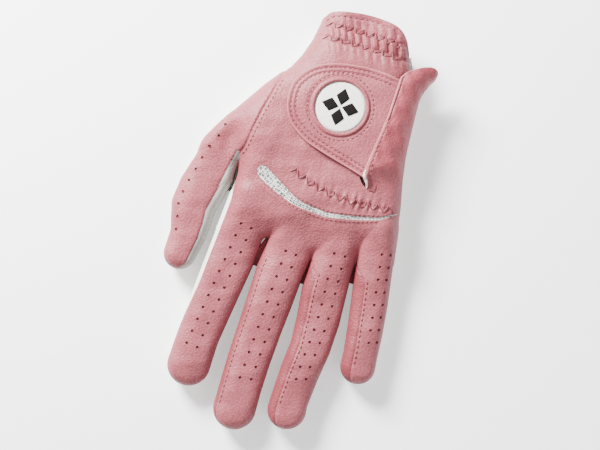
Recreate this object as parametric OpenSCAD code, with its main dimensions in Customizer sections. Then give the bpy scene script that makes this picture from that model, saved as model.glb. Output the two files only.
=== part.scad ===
// Left-hand golf glove, lying palm down. Millimetres.
// X runs across the hand with the thumb at -X, the fingers point to -Y, the wrist opens at +Y,
// Z is up out of the back of the hand, and the middle of the palm rests on the origin.

/* [Leather] */
// Thickness of the leather
leather = 0.9; // [0.7:0.1:1.1]
// Gap left between pieces that only lie against each other
seat_gap = 0.1; // [0.1:0.05:0.2]
// Gap between two parts that move past each other
joint_gap = 0.4; // [0.3:0.1:0.6]

/* [Hand] */
// Distance from the palm to the top of the back of the hand
hand_height = 22.5; // [18:0.5:27]
// Height at which the back and palm leathers meet along the sides of the hand
side_seam_z = 9; // [8:0.5:10]
// Y of the wrist hem on the thumb side
hem_y = 69; // [62:1:80]
// How much lower the hem is on the little finger side
hem_drop = 16; // [12:1:20]
// X of the little finger side of the wrist
wrist_right = 31; // [28:1:36]
// X of the thumb side of the cuff
cuff_left = -20; // [-24:1:-18]
// X at which the slit in the back starts at the hem
slit_x = 22.5; // [20:0.5:24]
// Y of the closed end of the slit
notch_y = -3; // [-6:1:0]

/* [Fingers] */
// Height of a finger
finger_height = 14; // [12:0.5:17]
// Rounding of a finger's long edges
finger_round = 4.5; // [3.5:0.5:5]
// Width of the index finger
index_w = 18.4; // [16:0.2:20]
// Length of the index finger from its joint to the centre of its tip
index_len = 55; // [45:1:66]
// Width of the middle finger
middle_w = 18.2; // [16:0.2:20]
// Length of the middle finger from its joint to the centre of its tip
middle_len = 65.5; // [54:0.5:78]
// Width of the ring finger
ring_w = 17.4; // [15:0.2:19]
// Length of the ring finger from its joint to the centre of its tip
ring_len = 61.5; // [51:0.5:73]
// Width of the little finger
little_w = 15.4; // [13:0.2:17]
// Length of the little finger from its joint to the centre of its tip
little_len = 38; // [32:1:45]
// Width of the thumb
thumb_w = 17.6; // [15:0.2:19]
// Length of the thumb from its joint to the centre of its tip
thumb_len = 43.5; // [36:0.5:50]
// Largest angle through which a finger bends towards the palm
flex = 75; // [45:5:80]
// Largest angle through which a finger bends backwards
extend = 10; // [0:5:15]
// Diameter of a ventilation hole
vent_d = 1.3; // [1:0.1:1.6]
// Distance between two holes along a finger
vent_pitch = 5.6; // [5:0.1:6.5]
// Distance between the two rows of holes
vent_rows = 4.9; // [4:0.1:5.5]

/* [Closure] */
// Radius of the round end of the closure tab
tab_r = 20.5; // [17:0.5:21]
// X of the centre of the tab's round end
tab_x = -3; // [-6:0.5:0]
// Y of the centre of the tab's round end
tab_y = 26.5; // [24:0.5:30]
// Y of the lower edge of the tab at its hinge
tab_low_y = 3; // [1:0.5:8]
// X of the tab's hinge line
hinge_x = 16.5; // [15:0.5:18]
// Thickness of the hook patch, and of the loop patch
fastener = 0.7; // [0.6:0.1:1.2]
// Thickness of the tab's lining
lining = 0.4; // [0.4:0.1:0.8]
// Radius of the badge that shows in the tab
badge_r = 10.6; // [8:0.2:12]
// Width of the raised ring around the badge
ring_band = 1.9; // [1.2:0.1:2.6]
// Y of the badge's centre
badge_y = 27.7; // [25:0.5:30]

/* [Palm patch] */
// Width of the reinforcing patch on the heel of the palm
patch_w = 46; // [38:1:50]
// Length of the reinforcing patch
patch_len = 56; // [46:1:60]

/* [Hidden] */
$fn = 64;

pink = [0.80, 0.56, 0.58];
white = [0.92, 0.90, 0.88];
steps_across = 10;                              // facets across the hand
step = 0.4;                                     // short distance over which an outline jumps
curve = 4;                                      // exponent of the hand's rounded cross-section
knuckle_y = -32;                                // where the finger sleeves start
wedge = flex / 2 + 2;                           // half angle of the notch under each finger joint
joint_z = finger_height / 2;
low_z = finger_round;                           // palm leather reaches up to here on a finger
high_z = finger_height - finger_round;          // back leather reaches down to here
palm_z = leather + seat_gap;                    // the palm panel lies on its patch
loop_z = hand_height + seat_gap;
hook_z = loop_z + fastener + seat_gap;
lining_z = hook_z + fastener;
tab_z = lining_z + lining;
tab_top = tab_z + leather;

// Each finger: [x, y of its joint, degrees it leans out, width, length, y at which the hand ends]
index = [-28.2, -42, -5.2, index_w, index_len, knuckle_y];
middle = [-7, -44, -2, middle_w, middle_len, knuckle_y];
ring = [13.5, -43, -0.6, ring_w, ring_len, knuckle_y];
little = [33.6, -40, 5.5, little_w, little_len, knuckle_y];
thumb = [-47.3, -6, -3.9, thumb_w, thumb_len, notch_y];

// Outline of the hand seen from above, as X against Y, with the thumb's root on the left side
function left_edge(y) = lookup(y, [[knuckle_y, -38], [-3.1, -37.5], [-3, -55], [5, -50.5], [18, -42],
    [32, -33], [41, cuff_left - 5.5], [48, cuff_left - 2.5], [60, cuff_left], [hem_y, cuff_left + 1.5]]);
function right_edge(y) = lookup(y, [[knuckle_y, 40.5], [-16, 37.5], [-2, 35], [8, 32.5],
    [20, wrist_right], [40, wrist_right], [52, wrist_right + 3.5], [hem_y, wrist_right + 3.5]]);
function back_height(y) = hand_height - lookup(y, [[knuckle_y, 8], [-20, 4.5], [-8, 1.5], [5, 0],
    [45, 0], [hem_y, 3]]);
// The seam between the thumb's leather and the back, and the slit's edge, as X against Y
function thumb_seam_x(y) = lookup(y, [[notch_y, -37.5], [15, -32.6], [36, -28.2]]);
function slit_edge_x(y) = lookup(y, [[notch_y, 19], [50, slit_x], [hem_y, slit_x]]);
function ridge_x(y) = lookup(y, [[notch_y, 18.4], [tab_low_y, 18.2], [46, 20.5], [hem_y, 22]]);

function mix(a, b, t) = a + (b - a) * t;

// A point on the hand's skin: phi runs from -90 on the thumb side to 90 on the other,
// inset is how far inside the outer skin it lies
function skin(y, phi, top, inset) =
    let (l = left_edge(y) + inset, r = right_edge(y) - inset,
        q = pow(cos(phi), 2 / curve), s = sign(phi) * pow(abs(sin(phi)), 2 / curve))
    [(l + r) / 2 + (r - l) / 2 * s, y,
     top ? mix(side_seam_z + seat_gap / 2, back_height(y) - inset, q)
         : mix(side_seam_z - seat_gap / 2, palm_z + inset, q)];
// The angle phi at which the skin has a given X
function phi_at(y, x) =
    let (l = left_edge(y), r = right_edge(y), s = (2 * x - l - r) / (r - l))
    sign(s) * asin(pow(min(1, abs(s)), curve / 2));

// A closed sheet between two grids of points that have the same rows and columns
module sheet(outer, inner) {
    rows = len(outer);
    cols = len(outer[0]);
    n = rows * cols;
    points = [for (g = [outer, inner]) for (row = g) each row];
    function quad(a, b, c, d) = [[a, b, c], [a, c, d]];
    skin_faces = [for (i = [0:rows - 2]) for (j = [0:cols - 2])
        let (a = i * cols + j, b = a + 1, c = b + cols, d = a + cols)
        each concat(quad(a, b, c, d), quad(n + d, n + c, n + b, n + a))];
    side_faces = [for (i = [0:rows - 2])
        let (a = i * cols, d = a + cols, b = a + cols - 1, c = b + cols)
        each concat(quad(a, d, n + d, n + a), quad(c, b, n + b, n + c))];
    end_faces = [for (j = [0:cols - 2])
        let (a = j, b = j + 1, c = n - cols + j, d = c + 1)
        each concat(quad(b, a, n + a, n + b), quad(c, d, n + d, n + c))];
    polyhedron(points, concat(skin_faces, side_faces, end_faces));
}

// A sheet of the hand's skin over the given Y stations, between the angles from(y) and to(y)
module skin_sheet(stations, from, to, top, out, thick, cols = steps_across) {
    function grid(inset) = [for (i = [0:len(stations) - 1]) [for (j = [0:cols])
        skin(stations[i], mix(from[i], to[i], j / cols), top, inset)]];
    if (top) sheet(grid(out), grid(out + thick));
    else sheet(grid(out + thick), grid(out));
}

// Back leather: whole width below the slit, then from the thumb seam to the slit, then the cuff
module back_panel() color(pink) {
    stations = [knuckle_y, -24, -16, -8, notch_y - step, notch_y, 8, 18, 27, 36, 36 + step, 44, 52, 58,
        64, hem_y];
    skin_sheet(stations,
        [for (y = stations) y < notch_y || y > 36 ? -90 : phi_at(y, thumb_seam_x(y))],
        [for (y = stations) y < notch_y ? 90 : phi_at(y, slit_edge_x(y))],
        true, 0, leather);
}

// Back leather on the little finger side of the slit. It lies over the tab's sewn root.
module ulnar_panel() {
    cols = 8;
    start = notch_y + step;
    stations = [start, tab_low_y, 14, 24, 36, 46, hem_y - hem_drop];
    function first(y) = phi_at(y, ridge_x(y));
    function clear(y) = tab_top + seat_gap + leather - skin(y, mix(first(y), 90, 1 / cols), true, 0)[2];
    function lift(y, j) = (y > start ? clear(y) : 5 * seat_gap) * min(1, (cols - j) / (cols - 1));
    function row(y, inset) = [for (j = [0:cols])
        skin(y, mix(first(y), 90, j / cols), true, inset) + [0, 0, lift(y, j)]];
    color(pink) sheet([for (y = stations) row(y, 0)], [for (y = stations) row(y, leather)]);
}

// Leather over the root of the thumb, sewn to the back panel along the thumb seam
module thumb_base() color(pink) {
    stations = [notch_y, 8, 18, 27, 36 - step];
    skin_sheet(stations, [for (y = stations) -90],
        [for (y = stations) phi_at(y, thumb_seam_x(y) - 3 * seat_gap)], true, 0, leather, 6);
}

// White palm leather, from side seam to side seam
module palm_panel() color(white) {
    stations = [knuckle_y, -18, notch_y - step, notch_y, 8, 20, 32, 44, hem_y - hem_drop];
    skin_sheet(stations, [for (y = stations) -90], [for (y = stations) 90], false, 0, leather);
}

// A rectangle with round corners, centred in X and starting at y = 0
module round_box(w, h, r) {
    for (x = [-1, 1], y = [r, h - r]) translate([x * (w / 2 - r), y]) circle(r);
    translate([-w / 2, r]) square([w, h - 2 * r]);
    translate([r - w / 2, 0]) square([w - 2 * r, h]);
}

// Second layer of leather on the heel of the palm, on which the glove rests
module palm_patch() color(white) linear_extrude(leather)
    translate([0, 10 - patch_len / 2]) round_box(patch_w, patch_len, 12);

// The walls of a finger seen along it: X across, Y up
module finger_ring(w) difference() {
    round_box(w, finger_height, finger_round);
    translate([0, leather]) round_box(w - 2 * leather, finger_height - 2 * leather, finger_round - leather);
}

// The part of a finger's walls above (or below) the given heights on its left and right side
module above_seam(w, left_z, right_z) {
    translate([-w, left_z]) square([w, finger_height]);
    translate([0, right_z]) square([w, finger_height]);
}

module back_walls(w, left_z, right_z) intersection() {
    finger_ring(w);
    above_seam(w, left_z, right_z);
}

module palm_walls(w, left_z, right_z) difference() {
    finger_ring(w);
    above_seam(w, left_z, right_z);
}

// Stands a finger's wall up along -Y between two distances from the joint
module along(from, to) translate([0, -from, 0]) rotate([90, 0, 0]) linear_extrude(to - from) children();

// The round end of a finger, from one height to another
module tip(w, low, high) rotate([0, 0, 180]) rotate_extrude(angle = 180) intersection() {
    finger_ring(w);
    translate([0, low]) square([w, high - low]);
}

// Keeps what lies in front of a finger's joint (side 1) or behind it (side -1), clear of the notch
module joint_cut(side) {
    reach = 120;
    gap = joint_gap / 2;
    foot = joint_z * tan(wedge) + gap;
    top = (finger_height + 1 - joint_z) * tan(extend / 2 + 1) + gap;
    difference() {
        children();
        rotate([90, 0, 90]) linear_extrude(reach, center = true)
            polygon([[-side * gap, joint_z], [-side * foot, 0], [-side * foot, -1],
                [side * reach, -1], [side * reach, finger_height + 1], [-side * top, finger_height + 1]]);
    }
}

module at_joint(f) translate([f[0], f[1], 0]) rotate([0, 0, f[2]]) children();

// Two rows of ventilation holes through the back of a finger
module vents(f, count, first, off, rows = [-0.5, 0.5])
    for (i = [0:count - 1], r = rows)
        translate([off + r * vent_rows, -first - i * vent_pitch, high_z])
            cylinder(d = vent_d, h = finger_round + 1, $fn = 24);

module finger_back(f, left_z, right_z, count, off, rows = [-0.5, 0.5]) color(pink) at_joint(f)
    difference() {
        union() {
            joint_cut(1) along(0, f[4]) back_walls(f[3], left_z, right_z);
            translate([0, -f[4], 0]) tip(f[3], joint_z, finger_height);
        }
        vents(f, count, 3, off, rows);
    }

module finger_palm(f, left_z, right_z) color(white) at_joint(f) {
    joint_cut(1) along(0, f[4]) palm_walls(f[3], left_z, right_z);
    translate([0, -f[4], 0]) tip(f[3], 0, joint_z);
}

// Flat side strip of a finger, on side -1 or 1
module side_strip(f, side, from, to)
    translate([side * (f[3] - leather) / 2, 0, 0]) along(from, to)
        translate([-leather / 2, low_z]) square([leather, high_z - low_z]);

module finger_fourchette(f, sides) color(pink) at_joint(f) joint_cut(1)
    for (side = sides) side_strip(f, side, 0, f[4]);

function sleeve_len(f) = f[5] - f[1] - joint_gap - f[3] / 2 * sin(abs(f[2]));

// The short sleeves of the back and palm leather that reach from the hand to the finger joints
module sleeves_back() color(pink) {
    for (f = [index, middle, ring]) at_joint(f) joint_cut(-1)
        along(-sleeve_len(f), 1) back_walls(f[3], high_z, high_z);
    at_joint(little) joint_cut(-1) along(-sleeve_len(little), 1) back_walls(little[3], high_z, low_z);
    at_joint(thumb) joint_cut(-1) along(-sleeve_len(thumb), 1) back_walls(thumb[3], low_z, high_z);
}

module sleeves_palm() color(white) {
    for (f = [middle, ring]) at_joint(f) joint_cut(-1)
        along(-sleeve_len(f), 1) palm_walls(f[3], low_z, low_z);
    at_joint(index) joint_cut(-1) along(-sleeve_len(index), 1) palm_walls(index[3], high_z, low_z);
    at_joint(little) joint_cut(-1) along(-sleeve_len(little), 1) palm_walls(little[3], low_z, low_z);
    at_joint(thumb) joint_cut(-1) along(-sleeve_len(thumb), 1) palm_walls(thumb[3], low_z, high_z);
}

// X of the middle of a finger's side strip at the given Y
function strip_x(f, side, y) = f[0] + (f[1] - y) * tan(f[2]) + side * (f[3] - leather) / 2 / cos(f[2]);

// Side strips at the fork between finger a and finger b, and the web that joins them
web_len = 4;
module fork(a, b) color(pink) {
    at_joint(a) joint_cut(-1) side_strip(a, 1, -sleeve_len(a), 1);
    at_joint(b) joint_cut(-1) side_strip(b, -1, -sleeve_len(b), 1);
    y = knuckle_y - joint_gap - web_len;
    ax = strip_x(a, 1, y + web_len / 2);
    bx = strip_x(b, -1, y + web_len / 2);
    translate([ax, y, low_z + leather / 2]) cube([bx - ax, web_len, high_z - low_z - leather]);
}

// Curved inset of knitted mesh over the knuckles, wide at the thumb side and fine at the other
function mesh_mid_y(x) = -8.6 - 9.4 * cos(90 * (x - 5) / 33);
function mesh_half(x) = lookup(x, [[-28, 2.4], [-12, 1.7], [5, 1.1], [20, 0.8], [35, 0.3]]);
module knuckle_mesh() {
    stations = [for (i = [0:10]) mix(-27, 29, i / 10)];
    function row(side, out) = [for (x = stations) let (y = mesh_mid_y(x) + side * mesh_half(x))
        skin(y, phi_at(y, x), true, out)];
    low = 2 * seat_gap;
    color(white) sheet([row(-1, -low - 0.35), row(1, -low - 0.35)], [row(-1, -low), row(1, -low)]);
}

// Elastic tapes under the back leather
under = leather + 3 * seat_gap;
module knuckle_elastic() color("white") {
    stations = [-8, notch_y - 2 * step];
    skin_sheet(stations, [for (y = stations) phi_at(y, -18)], [for (y = stations) phi_at(y, 27)],
        true, under, 0.6, 6);
}

module cuff_elastic() color("white") {
    stations = [53, 58, 63];
    skin_sheet(stations, [-60, -60, -60], [for (y = stations) phi_at(y, 14)],
        true, under, 0.8, 6);
}

// Round part of the tab, of radius r about the tab's centre, with its wedge to the hinge line
module tab_outline(r, end_x) {
    intersection() {
        union() {
            translate([tab_x, tab_y]) circle(r);
            polygon([[tab_x, tab_y], [tab_x + 2, tab_y + 0.98 * r], [end_x, tab_y + r],
                [end_x, tab_low_y + tab_r - r], [tab_x - 0.42 * r, tab_y - 0.88 * r]]);
        }
        translate([-60, -60]) square([60 + end_x, 160]);
    }
}

module plate(z, thick) translate([0, 0, z]) linear_extrude(thick) children();

module at_badge() translate([tab_x + 1.7, badge_y]) children();

module tab_leather() color(pink) plate(tab_z, leather) difference() {
    tab_outline(tab_r, hinge_x - joint_gap / 2);
    at_badge() circle(badge_r);
}

module tab_lining() color(pink) plate(lining_z, lining) tab_outline(tab_r - 1, hinge_x - 1.2);

module hook_patch() color([0.85, 0.83, 0.82]) plate(hook_z, fastener)
    translate([tab_x, tab_y]) circle(tab_r - 4);

module loop_patch() color([0.78, 0.60, 0.62]) plate(loop_z, fastener)
    translate([tab_x, tab_y]) circle(tab_r - 3);

// The end of the tab's leather that is sewn under the edge of the ulnar panel
module tab_root() color(pink) plate(tab_z, leather)
    translate([hinge_x + joint_gap / 2, tab_low_y + 1]) square([3, tab_y + tab_r - tab_low_y - 3]);

module badge_ring() color(pink) translate([0, 0, tab_top]) at_badge() rotate_extrude() intersection() {
    translate([badge_r + ring_band / 2, 0]) circle(ring_band / 2);
    square([badge_r + ring_band, ring_band]);
}

module badge_disc() color(white) plate(tab_z, 0.5) at_badge() circle(badge_r - seat_gap);

// Four embroidered lozenges
module badge_emblem() color([0.1, 0.09, 0.09]) plate(tab_z + 0.5, 0.6) at_badge()
    for (a = [0:90:270]) rotate(a) translate([4, 0]) polygon([[-3.2, 0], [0, -2.3], [3.2, 0], [0, 2.3]]);

back_panel();
ulnar_panel();
thumb_base();
palm_panel();
palm_patch();
sleeves_back();  // knuckle_sleeves_back
sleeves_palm();  // knuckle_sleeves_palm
fork(index, middle);  // index_middle_fourchette
fork(middle, ring);  // middle_ring_fourchette
fork(ring, little);  // ring_little_fourchette
knuckle_mesh();
knuckle_elastic();
cuff_elastic();
loop_patch();
tab_root();
tab_leather();
tab_lining();
hook_patch();
badge_ring();
badge_disc();
badge_emblem();
finger_back(index, high_z, high_z, 9, 0);  // index_back
finger_palm(index, high_z, low_z);  // index_palm
finger_fourchette(index, [1]);  // index_fourchette
finger_back(middle, high_z, high_z, 10, 2.4);  // middle_back
finger_palm(middle, low_z, low_z);  // middle_palm
finger_fourchette(middle, [-1, 1]);  // middle_fourchettes
finger_back(ring, high_z, high_z, 9, 2.4);  // ring_back
finger_palm(ring, low_z, low_z);  // ring_palm
finger_fourchette(ring, [-1, 1]);  // ring_fourchettes
finger_back(little, high_z, low_z, 6, 2.4);  // little_back
finger_palm(little, low_z, low_z);  // little_palm
finger_fourchette(little, [-1]);  // little_fourchette
finger_back(thumb, low_z, high_z, 7, -3, [-0.5]);  // thumb_back
finger_palm(thumb, low_z, high_z);  // thumb_palm
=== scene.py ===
"""A women's left-hand golf glove lying palm down: soft leather, perforated fingers, elastic cuff and
a round-ended closure tab. Lengths in the sections are millimetres; meshes are made in metres."""
import math
import bpy
import numpy as np
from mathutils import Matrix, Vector


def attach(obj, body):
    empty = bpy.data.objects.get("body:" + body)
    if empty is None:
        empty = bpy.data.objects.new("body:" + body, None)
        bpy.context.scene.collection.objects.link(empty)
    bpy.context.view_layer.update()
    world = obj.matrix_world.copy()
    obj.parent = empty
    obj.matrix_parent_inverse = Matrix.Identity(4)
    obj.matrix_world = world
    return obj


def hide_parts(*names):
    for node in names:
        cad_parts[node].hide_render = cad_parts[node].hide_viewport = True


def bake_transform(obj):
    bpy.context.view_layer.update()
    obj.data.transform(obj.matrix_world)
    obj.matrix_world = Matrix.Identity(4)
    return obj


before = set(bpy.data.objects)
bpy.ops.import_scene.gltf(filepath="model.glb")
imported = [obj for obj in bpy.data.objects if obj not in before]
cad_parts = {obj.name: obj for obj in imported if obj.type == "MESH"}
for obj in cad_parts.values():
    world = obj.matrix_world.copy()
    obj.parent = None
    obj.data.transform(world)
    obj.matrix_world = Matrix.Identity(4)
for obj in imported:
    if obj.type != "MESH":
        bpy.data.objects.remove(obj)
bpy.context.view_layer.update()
METRE = 0.001

# ---------------------------------------------------------------------------------------------
# Studio: a white table top, a large soft light from the thumb's side, a weak fill from the other
# side, and a camera that looks straight down on the back of the hand.
VIEW_TURN = math.radians(16)
VIEW_WIDTH = 258.0
VIEW_CENTRE = (-3.8, -25.7)
VIEW_Z = 10                  # height of the plane that is VIEW_WIDTH wide in the picture
LENS = 85.0


def area_light(name, place, size, power, aim=(0, -20, 8)):
    """A square soft light at a place in millimetres, turned towards the glove."""
    lamp = bpy.data.lights.new(name, "AREA")
    lamp.size = size * METRE
    lamp.energy = power
    holder = bpy.data.objects.new(name, lamp)
    bpy.context.scene.collection.objects.link(holder)
    holder.location = Vector(place) * METRE
    holder.rotation_euler = (Vector(aim) - Vector(place)).to_track_quat("-Z", "Y").to_euler()


camera = bpy.data.cameras.new("camera")
camera.lens = LENS
camera_holder = bpy.data.objects.new("camera", camera)
bpy.context.scene.collection.objects.link(camera_holder)
camera_holder.location = Vector((*VIEW_CENTRE, VIEW_Z + VIEW_WIDTH * LENS / camera.sensor_width)) * METRE
camera_holder.rotation_euler = (0, 0, VIEW_TURN)
bpy.context.scene.camera = camera_holder

area_light("key", (-460, 330, 400), 240, 31.0)
area_light("fill", (380, -260, 560), 520, 1.4)
world = bpy.data.worlds.new("studio")
world.use_nodes = True
background = world.node_tree.nodes["Background"].inputs
background["Color"].default_value = (1, 1, 1, 1)
background["Strength"].default_value = 0.88
bpy.context.scene.world = world

bpy.ops.mesh.primitive_plane_add(size=4)
table_top = bpy.context.object
table_top.name = "table_top"
white = bpy.data.materials.new("table white")
white.use_nodes = True
glow = white.node_tree.nodes["Principled BSDF"].inputs
glow["Base Color"].default_value = (0.97, 0.97, 0.97, 1)
glow["Roughness"].default_value = 0.9
glow["Emission Color"].default_value = (1, 1, 1, 1)
glow["Emission Strength"].default_value = 0.35
table_top.data.materials.append(white)

# ---------------------------------------------------------------------------------------------
# The glove's body. The hand is an outline, each finger and the thumb a bent rod with its own
# width along its length; together they give one skin, which every leather piece is cut from.
SIDE_Z = 7.5                 # height of the widest line around the glove
UNDER = 7.42                 # how far the palm's skin lies below that line
SECTION = 2.5                # exponent of the rounded cross-section
HAND_ROUND = 15.0            # how far in from the outline the hand's back becomes level
FINGER_RISE = 6.3            # how far a finger's back rises over the widest line
HAND_RISE = 13.6             # the same for the back of the hand
THUMB_RISE = 7.0             # and for the thumb's
CUFF_FALL = 2.4              # how much lower the back is at the cuff
STEP = 0.55                  # grid step of the skin

hand_outline = np.array([
    (-19.2, 60), (-18.4, 66), (-18, 84), (24, 84), (22.5, 66), (23, 56), (26.5, 49), (30.0, 43),
    (30.8, 36), (31.4, 25), (32, 15), (33.5, 5), (35.8, -6), (38, -20),
    (39.6, -31), (31, -31), (25.6, -28), (20.5, -35), (11, -37), (6, -36), (1, -38), (-9, -38),
    (-14.5, -34), (-20, -37), (-38, -37), (-37.2, -31), (-36.3, -18), (-36, -12.5), (-37.3, -3.5),
    (-46, -4), (-53.6, -6), (-52.0, 1.3), (-49.0, 7.5), (-45, 13.9), (-40, 21.3), (-35, 28.8),
    (-30, 35), (-26.3, 38.8), (-23.1, 45), (-20.6, 52.5)], float)

# x, y and half width down each finger; cut is the y at which its own leather starts
fingers = {
    "index": dict(cut=-41.0, line=[
        (-26.5, -20, 10), (-27.8, -36, 10.1), (-28.8, -48, 10.3), (-30.2, -60, 9.9), (-31.3, -70, 9.5),
        (-32.9, -84, 9.1), (-33.4, -96.6, 9.3)]),
    "middle": dict(cut=-43.0, line=[
        (-4.6, -22, 9.6), (-5.4, -38, 10), (-6.75, -48, 10.1), (-7.35, -60, 9.85), (-8.2, -72.5, 9.5),
        (-9, -87.5, 9.3), (-9.25, -100, 9.15), (-9.2, -109.4, 9.25)]),
    "ring": dict(cut=-42.0, line=[
        (14.3, -22, 9.2), (14.2, -41, 9.3), (14.2, -51, 9.7), (15, -62.5, 9.4), (15, -75, 8.8),
        (13.5, -87.5, 8.5), (12.6, -100, 8.2), (12.7, -103.9, 8.4)]),
    "little": dict(cut=-39.0, line=[
        (29.5, -18, 8.3), (32.4, -37.5, 8.1), (34.3, -50, 8), (35.8, -62.5, 7.75), (36.7, -72.5, 7.45),
        (37, -77.6, 7.6)]),
    "thumb": dict(cut=-5.2, line=[
        (-40.5, 6, 6.5), (-45.5, -6, 8.7), (-46.9, -15, 9.9), (-48.9, -22.5, 10.1), (-50.3, -30, 9.6),
        (-49.6, -36, 8.9), (-49.2, -42.5, 7.8), (-50.3, -51.6, 7.0)]),
}
names = list(fingers)


def along_line(x, y, line):
    """For each point: its distance from the bent line divided by the half width there, on which side
    of the line it lies (-1 or 1), and the distance down the line of the nearest place on it."""
    best = np.full(x.shape, 1e9)
    side = np.zeros(x.shape)
    down = np.zeros(x.shape)
    start = 0.0
    for (ax, ay, ar), (bx, by, br) in zip(line[:-1], line[1:]):
        dx, dy = bx - ax, by - ay
        length = math.hypot(dx, dy)
        raw = ((x - ax) * dx + (y - ay) * dy) / length ** 2
        t = np.clip(raw, 0, 1)
        d = np.hypot(x - ax - t * dx, y - ay - t * dy) / (ar + (br - ar) * t)
        closer = d < best
        best = np.where(closer, d, best)
        across = ((x - ax) * -dy + (y - ay) * dx) / length
        side = np.where(closer, across / (ar + (br - ar) * t), side)
        down = np.where(closer, start + raw * length, down)
        start += length
    return best, side, down


def outline_distance(x, y, outline):
    """Distance from the nearest edge of a closed outline, positive inside it."""
    nearest = np.full(x.shape, 1e9)
    inside = np.zeros(x.shape, bool)
    for (ax, ay), (bx, by) in zip(outline, np.roll(outline, -1, 0)):
        dx, dy = bx - ax, by - ay
        t = np.clip(((x - ax) * dx + (y - ay) * dy) / (dx * dx + dy * dy), 0, 1)
        nearest = np.minimum(nearest, np.hypot(x - ax - t * dx, y - ay - t * dy))
        if ay != by:
            inside ^= ((ay > y) != (by > y)) & (x < ax + (y - ay) * dx / dy)
    return np.where(inside, nearest, -nearest)


def smooth_min(a, b, k):
    """The smaller of two fields, with the crease between them rounded over a width k."""
    h = np.maximum(k - np.abs(a - b), 0) / k
    return np.minimum(a, b) - h * h * k / 4


def arch(e):
    """Height of the rounded cross-section: 1 in its middle, where e is 0, and 0 at its edge."""
    return (1 - np.clip(e, 0, 1) ** SECTION) ** (1 / SECTION)


def unit(vectors):
    """Vectors made one long."""
    return vectors / np.linalg.norm(vectors, axis=-1)[..., None]


def walked(line):
    """Distance down a line of points, at each of them."""
    return np.concatenate([[0], np.cumsum(np.linalg.norm(np.diff(line, axis=0), axis=1))])


def halves(quads):
    """Each four-sided face as two triangles."""
    return np.concatenate([quads[:, [0, 1, 2]], quads[:, [0, 2, 3]]])


def ramp(x, low, high):
    """0 below low, 1 above high, and a smooth step between."""
    t = np.clip((x - low) / (high - low), 0, 1)
    return t * t * (3 - 2 * t)


def soften(a, reach):
    """A map blurred by three passes of a running mean."""
    for _ in range(3):
        for axis in (0, 1):
            total = sum(np.roll(a, s, axis) for s in range(-reach, reach + 1))
            a = total / (2 * reach + 1)
    return a


class Map:
    """A plan map of the glove on a fine grid, read between its points by bilinear interpolation."""
    PITCH = 0.4
    X = np.arange(-68, 52, PITCH)
    Y = np.arange(-126, 86, PITCH)
    GX, GY = np.meshgrid(X, Y, indexing="ij")

    def __init__(self, values):
        self.values = values

    def __call__(self, x, y):
        i = np.clip((x - self.X[0]) / self.PITCH, 0, len(self.X) - 1.001)
        j = np.clip((y - self.Y[0]) / self.PITCH, 0, len(self.Y) - 1.001)
        a, b = i.astype(int), j.astype(int)
        i, j = i - a, j - b
        v = self.values
        return ((v[a, b] * (1 - i) + v[a + 1, b] * i) * (1 - j)
                + (v[a, b + 1] * (1 - i) + v[a + 1, b + 1] * i) * j)


def hand_edge(x, y):
    """1 on the hand's outline, falling to 0 at HAND_ROUND inside it, and above 1 outside."""
    return np.maximum(1 - outline_distance(x, y, hand_outline) / HAND_ROUND, 0)


def curve(points, count):
    """A smooth line through the points: Catmull-Rom pieces, sampled at count even parameters."""
    p = np.asarray(points, float)
    p = np.concatenate([2 * p[:1] - p[1:2], p, 2 * p[-1:] - p[-2:-1]])
    u = np.linspace(0, len(points) - 1 - 1e-9, count)
    i = u.astype(int)
    t = (u - i)[:, None]
    a, b, c, d = p[i], p[i + 1], p[i + 2], p[i + 3]
    bend = (2 * a - 5 * b + 4 * c - d) * t ** 2 + (3 * b - a - 3 * c + d) * t ** 3
    return 0.5 * (2 * b + (c - a) * t + bend)


def line_distance(x, y, line):
    """Distance from a line of points, and the signed distance, positive on its left."""
    near, side, _ = along_line(x, y, [(*p, 1.0) for p in line])
    return near, side


thumb_seam = [(-39, -10), (-37.3, -3.5), (-35.6, 0), (-33.8, 10), (-32.3, 17.5), (-30.6, 25), (-29, 32),
              (-27, 43)]
hem_line = curve([(-25.7, 56.8), (-18.6, 62.4), (-15, 65.5), (-5, 67.5), (3.4, 67.9), (12.3, 66.7),
                  (17.3, 63.6), (20.4, 58.3), (22.5, 51.9), (23.6, 46.9)], 55)
HEM_SEAM = 2.3               # how far in from the hem its seam runs
# y of the two rows of zigzag stitches at the cuff, and of the middle between them
cuff_rows = (59.8, 53.9)
CUFF_MIDDLE = 56.8
knuckle_row = [(-14, -3.6), (-9, -5.6), (0, -8.6), (10, -10), (20, -10), (33, -9)]
# centre and half width of the knitted inset, from the thumb's side to the other
inset = [(-25.4, -8.2, 2.5), (-21.0, -10.8, 2.45), (-15, -13.8, 2.1), (-10, -16.3, 1.6), (-5, -17.5, 1.25),
         (5, -18.5, 1.1), (12.5, -17.5, 0.95), (20, -16, 0.8), (27.5, -14, 0.6), (35, -10, 0.3)]


def ruffles(x, y):
    """Gathers of the elastic cuff: slanting waves between the two rows, closer together towards the
    thumb, with a pinch along each row and soft folds running on to the hem."""
    lean = x + 0.4 * (y - CUFF_MIDDLE)
    pitch = 2.3 + 2.4 * (lean + 19) / 40
    phase = 2 * np.pi * (40 / 2.4) * np.log(np.maximum(pitch, 1.2) / 2.3)
    wave = np.sin(phase) + 0.4 * np.sin(2 * phase + 0.7)
    strength = 0.45 + 0.4 * ramp(x, -10, 15)
    between = np.exp(-((y - CUFF_MIDDLE) / 2.7) ** 4)
    to_hem = 0.45 * ramp(y, 59.3, 61.8) * (1 - ramp(y, 62.8, 66.3))
    to_hand = 0.35 * ramp(y, 47, 52) * (1 - ramp(y, 52, 54.5))
    pinch = sum(np.exp(-((y - row) / 0.9) ** 2) for row in cuff_rows)
    return strength * wave * (between + (to_hem + to_hand)) - (0.75 + 0.3 * wave * strength) * pinch


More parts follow.
